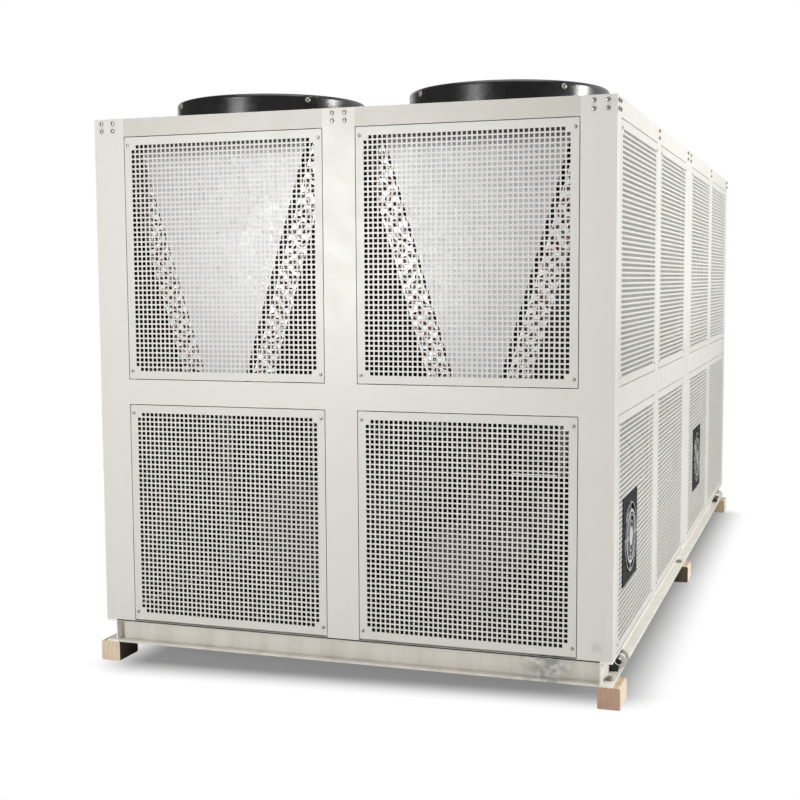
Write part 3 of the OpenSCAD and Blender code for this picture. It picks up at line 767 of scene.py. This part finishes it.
# hexagon bolts through the lower flanges into the timber
bolt = {"across": 0.024, "head": 0.010, "bevel": 0.0015, "crown": 0.86, "washer": 0.017,
        "washerT": 0.003, "washerSegments": 20, "inset": 0.024}


def boltShape():
    rWash, under = bolt["washer"], bolt["washerT"]
    rHead, top = bolt["across"] / math.sqrt(3), bolt["washerT"] + bolt["head"]
    washer = revolveShape([(0, 0), (rWash, 0), (rWash, under), (0, under)], bolt["washerSegments"])
    head = revolveShape([(0, under), (rHead, under), (rHead, top - bolt["bevel"]),
                         (rHead * bolt["crown"], top), (0, top)], 6)
    return joinShapes([washer, head])


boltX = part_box("base_side_rails")[1].x - bolt["inset"]
railHeights = sorted({round(v.co.z, 4) for v in nodes["base_side_rails"].data.vertices})
flangeTop = railHeights[1]  # the lowest height is the flange's underside
bolts = []
for sign in (-1, 1):
    for y in middlesOf("timber_blocks", 1):
        bolts.append(moveShape(boltShape(), Matrix.Translation((sign * boltX, y, flangeTop))))
makePiece("railBolts", joinShapes(bolts), zincScrew)
print("rail bolts:", len(bolts))

# timber blocks: sawn edges, each a little different
block = {"chamfer": 0.004, "wobble": 0.0016, "steps": 6, "seed": 5}


def timberShape(low, high, chance):
    c = block["chamfer"]
    x0, x1, z0, z1 = low[0], high[0], low[2], high[2]
    outline = [(x0 + c, z0), (x1 - c, z0), (x1, z0 + c), (x1, z1 - c),
               (x1 - c, z1), (x0 + c, z1), (x0, z1 - c), (x0, z0 + c)]
    points = []
    for y in np.linspace(low[1], high[1], block["steps"] + 1):
        for x, z in outline:
            inward = math.copysign(chance.random() * block["wobble"], (x0 + x1) / 2 - x)
            points.append((x + inward, y, z))
    return drawnShape(points, len(outline), flipped=True)


chance = random.Random(block["seed"])
low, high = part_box("timber_blocks")
timbers = [timberShape((a, c, low.z), (b, d, high.z), chance)
           for a, b in spansOf("timber_blocks", 0) for c, d in spansOf("timber_blocks", 1)]
makePiece("timberBlocks", joinShapes(timbers), pineWood, ["timber_blocks"])
print("timber blocks made:", len(timbers))

# soft edges on the folded and rolled steel
edge = {"width": 0.0012, "segments": 2, "paints": (cabinetPaint, railShadedPaint, basePaint, sideRailLitPaint)}
softened = [name for paint in edge["paints"] for name in nodeLooks[paint]]
for name in softened:
    bevel = nodes[name].modifiers.new("softEdge", "BEVEL")
    bevel.width = edge["width"]
    bevel.segments = edge["segments"]
    bevel.limit_method = "ANGLE"
    bevel.harden_normals = True
print("edges softened on", len(softened), "nodes")

# pale floor which keeps the shadow, with a painted shadow around the base: there the camera sees the floor
# in a darker colour (seen) with a lift, in a zone shaped by the fade numbers, which runs out to plain white
# a little way from the base
ground = {"size": 80, "rough": 0.9, "colour": (0.66, 0.66, 0.66), "seen": (0.17, 0.17, 0.17), "lift": 0.22,
          "fadeOver": 0.26, "fadeRight": 0.06, "fadeIn": 0.12, "fadeAhead": -0.12, "slant": 0.08}


def shadowZoneFade(tree, coords):
    # 0 in the painted shadow zone near the base and 1 where the floor is white
    place = splitAxes(tree, coords)
    across = addMath(tree, "ABSOLUTE", addMath(tree, "SUBTRACT", place["X"], ground["fadeRight"]))
    aside = addMath(tree, "SUBTRACT", across, halfW - ground["fadeIn"])
    ahead = addMath(tree, "SUBTRACT", addMath(tree, "ABSOLUTE", place["Y"]), halfL + ground["fadeAhead"])
    ahead = addMath(tree, "ADD", ahead, multiply(tree, place["X"], ground["slant"]))
    corner = tree.nodes.new("ShaderNodeCombineXYZ")
    for key, way in (("X", aside), ("Y", ahead)):
        tree.links.new(addMath(tree, "MAXIMUM", way, 0), corner.inputs[key])
    away = tree.nodes.new("ShaderNodeVectorMath")
    away.operation = "LENGTH"
    tree.links.new(corner.outputs[0], away.inputs[0])
    return addRamp(tree, away.outputs["Value"], 0.0, ground["fadeOver"], curve="SMOOTHSTEP")


def floorMaterial(name):
    material, tree, shader, coords = startMaterial(name)
    seen = tree.nodes.new("ShaderNodeLightPath").outputs["Is Camera Ray"]
    tone = addRamp(tree, addNoise(tree, coords, 0.4, 2), 0.3, 0.7, 0.0, 0.05)
    pale = mixColour(tree, tone, ground["colour"], darker(ground["colour"], 0.97))
    # painted shadow: the camera sees the floor in the darker seen colour, the light the paler one
    tree.links.new(mixColour(tree, seen, pale, ground["seen"]), shader.inputs["Base Color"])
    shader.inputs["Roughness"].default_value = ground["rough"]
    glow = tree.nodes.new("ShaderNodeEmission")
    tree.links.new(multiply(tree, seen, ground["lift"]), glow.inputs["Strength"])
    both = tree.nodes.new("ShaderNodeAddShader")
    tree.links.new(shader.outputs[0], both.inputs[0])
    tree.links.new(glow.outputs[0], both.inputs[1])
    white = tree.nodes.new("ShaderNodeEmission")
    blend = tree.nodes.new("ShaderNodeMixShader")
    tree.links.new(multiply(tree, seen, shadowZoneFade(tree, coords)), blend.inputs[0])
    tree.links.new(both.outputs[0], blend.inputs[1])
    tree.links.new(white.outputs[0], blend.inputs[2])
    tree.links.new(blend.outputs[0], tree.nodes["Material Output"].inputs["Surface"])
    return material


half = ground["size"] / 2
floorMesh = bpy.data.meshes.new("floor")
floorCorners = [(-half, -half, 0), (half, -half, 0), (half, half, 0), (-half, half, 0)]
floorMesh.from_pydata(floorCorners, [], [(0, 1, 2, 3)])
floorMesh.materials.append(floorMaterial("paleFloor"))
floor = bpy.data.objects.new("floor", floorMesh)
bpy.context.scene.collection.objects.link(floor)
print("floor laid")

# white surroundings, in which reflections see a dim room with a white wall at the right rear
room = {"light": 0.23, "glossFront": 0.15, "glossBack": 1.0, "wallWay": (0.6, 0.8), "wallFrom": 0.45,
        "wallFull": 0.9}


def roomStrength(tree):
    path = tree.nodes.new("ShaderNodeLightPath").outputs
    way = splitAxes(tree, tree.nodes.new("ShaderNodeTexCoord").outputs["Generated"])
    toWall = addMath(tree, "ADD", multiply(tree, way["X"], room["wallWay"][0]),
                     multiply(tree, way["Y"], room["wallWay"][1]))
    gloss = addRamp(tree, toWall, room["wallFrom"], room["wallFull"], room["glossFront"], room["glossBack"])
    isGloss = path["Is Glossy Ray"]
    soft = multiply(tree, addMath(tree, "SUBTRACT", 1.0, isGloss), room["light"])
    soft = addMath(tree, "ADD", soft, multiply(tree, isGloss, gloss))
    direct = addMath(tree, "MAXIMUM", path["Is Camera Ray"], path["Is Transmission Ray"])
    return addMath(tree, "MAXIMUM", direct, soft)


world = bpy.data.worlds.new("whiteRoom")
bpy.context.scene.world = world
world.use_nodes = True
background = world.node_tree.nodes["Background"]
background.inputs["Color"].default_value = (1, 1, 1, 1)
world.node_tree.links.new(roomStrength(world.node_tree), background.inputs["Strength"])

lamps = {
    "keyLamp": {"place": (-2.40, -8.5, 2.15), "aim": (0, -2.0, 1.5), "size": 1.7, "power": 230},
    "topLamp": {"place": (0.5, -2.5, 7.5), "aim": (0, -0.5, 1.0), "size": 6.0, "power": 350},
    "sideLamp": {"place": (8.0, 0.0, 3.2), "aim": (1.0, 0, 1.2), "size": 1.6, "power": 450},
    "backLamp": {"place": (-6.0, 5.0, 5.0), "aim": (0, 0, 1.2), "size": 4.0, "power": 60},
}
for name, lamp in lamps.items():
    light = bpy.data.lights.new(name, "AREA")
    light.size = lamp["size"]
    light.energy = lamp["power"]
    holder = bpy.data.objects.new(name, light)
    holder.location = lamp["place"]
    holder.rotation_euler = (Vector(lamp["aim"]) - Vector(lamp["place"])).to_track_quat("-Z", "Y").to_euler()
    bpy.context.scene.collection.objects.link(holder)
print("room lit by", len(lamps), "lamps")

# camera where the photo was taken from; angles in degrees
view = {"place": (1.897, -7.131, 1.630), "yaw": 18.81, "pitch": -5.24, "roll": -0.32, "lens": 59.0,
        "sensor": 36, "farthest": 200}


def cameraTurn():
    yaw, pitch, roll = (math.radians(view[k]) for k in ("yaw", "pitch", "roll"))
    forward = Vector((-math.sin(yaw) * math.cos(pitch), math.cos(yaw) * math.cos(pitch), math.sin(pitch)))
    right = Vector((math.cos(yaw), math.sin(yaw), 0))
    up = right.cross(forward)
    rolledRight = math.cos(roll) * right + math.sin(roll) * up
    rolledUp = -math.sin(roll) * right + math.cos(roll) * up
    return Matrix((rolledRight, rolledUp, -forward)).transposed()


camera = bpy.data.objects.new("camera", bpy.data.cameras.new("camera"))
camera.data.lens = view["lens"]
camera.data.sensor_width = view["sensor"]
camera.data.clip_end = view["farthest"]
camera.matrix_world = Matrix.Translation(view["place"]) @ cameraTurn().to_4x4()
bpy.context.scene.collection.objects.link(camera)
bpy.context.scene.camera = camera
bpy.context.scene.view_settings.view_transform = "Standard"
print("camera set")
